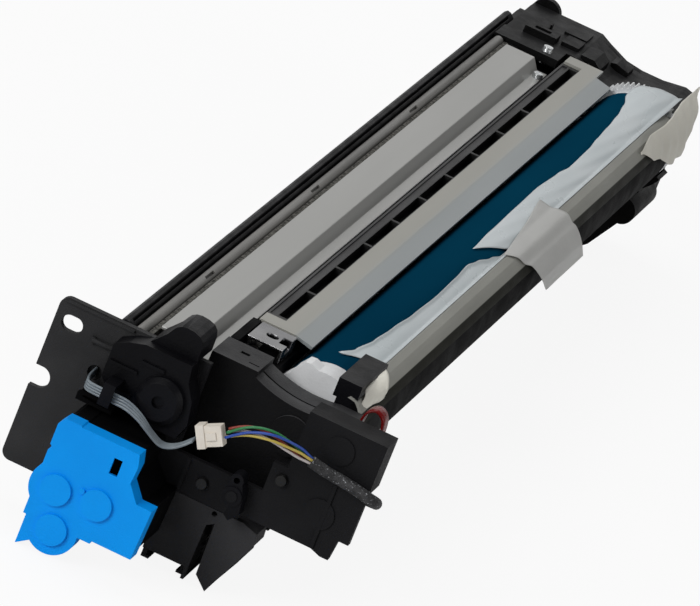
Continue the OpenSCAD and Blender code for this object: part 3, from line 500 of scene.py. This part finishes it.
# places along the unit in millimetres, and the free left edges as (place, angle round the drum)
near_front, near_lean, near_length = 56, 16, 170
far_front, far_lean, far_length = 202, 24, 232
near_edge = ((55, 101), (64, 89), (80, 82.5), (98, 79), (119, 75), (146, 73), (169, 74),
             (185, 76), (193, 72), (205, 64), (214, 58), (228, 57))
far_edge = ((202, 87), (225, 89), (254, 90), (285, 91), (311, 87), (323, 83), (349, 84),
            (364, 87), (380, 89), (396, 92), (411, 97), (420, 103), (428, 102), (434, 98))
film_right = 54.6
near_lift, far_lift = 0.4, 0.7
edge_curl = 0.7
gear_from, gear_over, gear_lift = 405, 24, 1.9
rail_from, rail_over, rail_lift = 58, 3.4, 1.1
film_thickness = 0.0001


def at_rail(angle):
    """Extra lift of the film where it climbs onto the rail's edge."""
    return rail_lift * min(1, max(0, (rail_from - angle) / rail_over)) ** 2


def near_film(s, t):
    y = near_front + near_lean * s + (near_length - near_lean * s) * t
    left = edge_at(near_edge, y)
    angle = left + (film_right - left) * s
    curl = edge_curl * max(0, 1 - s * abs(left - film_right) / 5) ** 2
    wave = 0.08 * noise.noise(Vector((y * 0.04, angle * 0.06, 2)))
    return round_drum(y, angle, near_lift + curl + at_rail(angle) + wave)


def far_film(s, t):
    # its rear end runs askew, 14 mm further back on the right than on the left
    y = far_front + far_lean * s + (far_length - 10 * s) * t
    left = edge_at(far_edge, y)
    angle = left + (film_right - left) * s
    over_gear = min(1, max(0, (y - gear_from) / gear_over))
    ripple = 0.07 * math.sin(y * 0.16 + angle * 0.4) + 0.1 * noise.noise(Vector((y * 0.03, angle * 0.05, 5)))
    rise = gear_lift * over_gear * over_gear * (3 - 2 * over_gear)
    return round_drum(y, angle, far_lift + at_rail(angle) + rise + ripple)


milky_film = milky("milky_film", (0.6, 0.66, 0.68), (0.7, 0.75, 0.77), 0.3, 0.86, (60.0, 0.2, 0.00015))
for name, surface, rows in (("near_film", near_film, 90), ("far_film", far_film, 120)):
    film = thin_sheet(name, surface, 16, rows, film_thickness)
    film.data.materials.append(milky_film)
    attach(film, "frame")
    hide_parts("protective_film")

# Tape: a piece of wide frosted tape that holds the films down. It goes over the rail's edge
# and hangs free beside the housing.
tape_front, tape_width = 214, 64
front_drift, width_loss = 26, 15
tape_start = 0.3
tape_bends = ((77, 15.95), (68, 16), (61, 16.2), (55, 17.2), (46, 18.9), (36, 19.1))
tape_hang = ((96.6, -4.4), (98.8, -7), (100.7, -10.2), (102.1, -13.9))
tape_line = [(drum_axis[0] + r * math.cos(math.radians(a)), drum_axis[1] + r * math.sin(math.radians(a)))
             for a, r in tape_bends]
tape_section = smooth_route([Vector((x, 0, z)) for x, z in (*tape_line, *tape_hang)], 5)


def tape_surface(s, t):
    # the tape lies askew: its left edge runs from the rail, in front, to the drum's top, behind
    start = tape_start * (1 - t)
    place = (start + (1 - start) * s) * (len(tape_section) - 1)
    i = min(int(place), len(tape_section) - 2)
    point = tape_section[i].lerp(tape_section[i + 1], place - i)
    y = tape_front + tape_width * t + (front_drift - width_loss * t) * s
    crease = 0.2 * noise.noise(Vector((y * 0.06, s * 3, 1)))
    return mm(point.x + crease * s, y, point.z + crease)


tape = thin_sheet("frosted_tape", tape_surface, 50, 40, film_thickness)
tape.data.materials.append(milky("frosted_tape", (0.52, 0.52, 0.505), (0.62, 0.62, 0.6), 0.5, 0.8,
                                 (120.0, 0.4, 0.0003)))
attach(tape, "frame")
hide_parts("tape")


# Black block over the drum's front end: an arched bracket, with a black skirt in front that covers
# the right half of the white end seal: a dark sheet put in the shadowed gap there, as painted shade.
hood_left, hood_right, hood_top = 84, 91.9, 3.2
hood_front, hood_back = 30.4, 60
shade_skirt_left, shade_skirt_back, shade_skirt_low = 85.3, 33.8, -9
hollow_radius, hollow_front, hollow_length = 16.4, 33.9, 50


def plain_block(name, low, high):
    """Cube between two corners, given in plate millimetres."""
    bpy.ops.object.select_all(action="DESELECT")
    bpy.ops.mesh.primitive_cube_add(size=1, location=(mm(*low) + mm(*high)) / 2)
    piece = bpy.context.object
    piece.name = name
    piece.scale = mm(*high) - mm(*low)
    bpy.ops.object.transform_apply(location=True, rotation=False, scale=True)
    return piece


hood = plain_block("end_hood", (hood_left, hood_front, -3), (hood_right, hood_back, hood_top))
bpy.ops.mesh.primitive_cylinder_add(
    vertices=96, radius=hollow_radius / 1000, depth=hollow_length / 1000, rotation=(math.radians(90), 0, 0),
    location=mm(drum_axis[0], hollow_front + hollow_length / 2, drum_axis[1]))
hollow = bpy.context.object
# the skirt is a dark sheet that stands in for the shade in the gap in front of the bracket
shade_skirt = plain_block("hood_shade_skirt", (shade_skirt_left, hood_front, shade_skirt_low), (hood_right, shade_skirt_back, 1))
for tool, way in ((hollow, "DIFFERENCE"), (shade_skirt, "UNION")):
    bpy.ops.object.select_all(action="DESELECT")
    hood.select_set(True)
    bpy.context.view_layer.objects.active = hood
    cut = hood.modifiers.new("cut", "BOOLEAN")
    cut.operation = way
    cut.solver = "EXACT"
    cut.object = tool
    bpy.ops.object.modifier_apply(modifier="cut")
    bpy.data.objects.remove(tool)
edge = hood.modifiers.new("mould_radius", "BEVEL")
edge.width = 0.0006
edge.segments = 3
bpy.ops.object.modifier_apply(modifier="mould_radius")
hood.data.materials.append(housing_black)
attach(hood, "frame")
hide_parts("hook_block")


# Foil flap at the front end of the rail and the crumpled cream film at its rear end: thin
# plastic stuck on the rail, creased by handling.
flap_top = (mm(91.4, 37, 1), mm(93, 52, 4.2))
flap_low = (mm(92.4, 30.6, -6.9), mm(97.2, 43, -1.4))
flap_belly = Vector((0.0014, -0.0006, 0.0008))


def foil_surface(s, t):
    top = flap_top[0].lerp(flap_top[1], t)
    low = flap_low[0].lerp(flap_low[1], t)
    across, up = noise.noise(Vector((s * 3, t * 3, 0))), noise.noise(Vector((s * 3, t * 4, 4)))
    return top.lerp(low, s) + flap_belly * math.sin(math.pi * s) + 0.0005 * Vector((across, 0, up))


# edges of the end film as (place along the unit, angle round the drum)
end_front, end_length, end_lift = 378, 90, 4.6
end_top = ((378, 42), (396, 49), (416, 47), (446, 53), (468, 52.5))
end_low = ((378, 40), (395, 23), (422, 1), (434, 2), (446, 20), (468, 51))


def end_surface(s, t):
    y = end_front + end_length * t
    angle = edge_at(end_top, y) + (edge_at(end_low, y) - edge_at(end_top, y)) * s
    fold = 0.45 * math.sin(y * 0.55 + 2 * s) + 0.5 * noise.noise(Vector((y * 0.1, angle * 0.06, 3)))
    return round_drum(y, angle, end_lift + fold * (0.3 + 0.7 * s) * min(1, 4 * t))


cream_film = milky("cream_film", (0.62, 0.6, 0.53), (0.8, 0.78, 0.7), 0.45, 0.92, (150.0, 0.6, 0.0004))
flap = thin_sheet("foil_flap_piece", foil_surface, 10, 14, film_thickness)
end_piece = thin_sheet("end_film_piece", end_surface, 22, 44, film_thickness)
for piece, node in ((flap, "foil_flap"), (end_piece, "end_film")):
    piece.data.materials.append(cream_film)
    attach(piece, "frame")
    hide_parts(node)

# Red tab: a strip of glossy red plastic bent into a loop, whose ends meet low on the right
# side of the end frame.
tab_bends = ((97.6, -14), (97, -9), (97, -3.5), (98, 0.6), (100.6, 2.4), (103.4, 0.6), (104.3, -4),
             (103.8, -9), (101, -12.6), (99.2, -14.6))
tab_line = smooth_route([Vector((x, 0, z)) for x, z in tab_bends], 4)
tab_front, tab_width, tab_thickness = 18, 6, 0.0007


def tab_surface(s, t):
    point = tab_line[round(t * (len(tab_line) - 1))]
    return mm(point.x, tab_front + tab_width * s, point.z)


tab = thin_sheet("red_loop", tab_surface, 3, len(tab_line) - 1, tab_thickness)
tab.data.materials.append(finish_mix("gloss_red", (0.1, 0.001, 0.001), (0.17, 0.003, 0.003), 0.25,
                                     (60.0, 1.0), specular=0.25))
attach(tab, "frame")
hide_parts("red_tab")
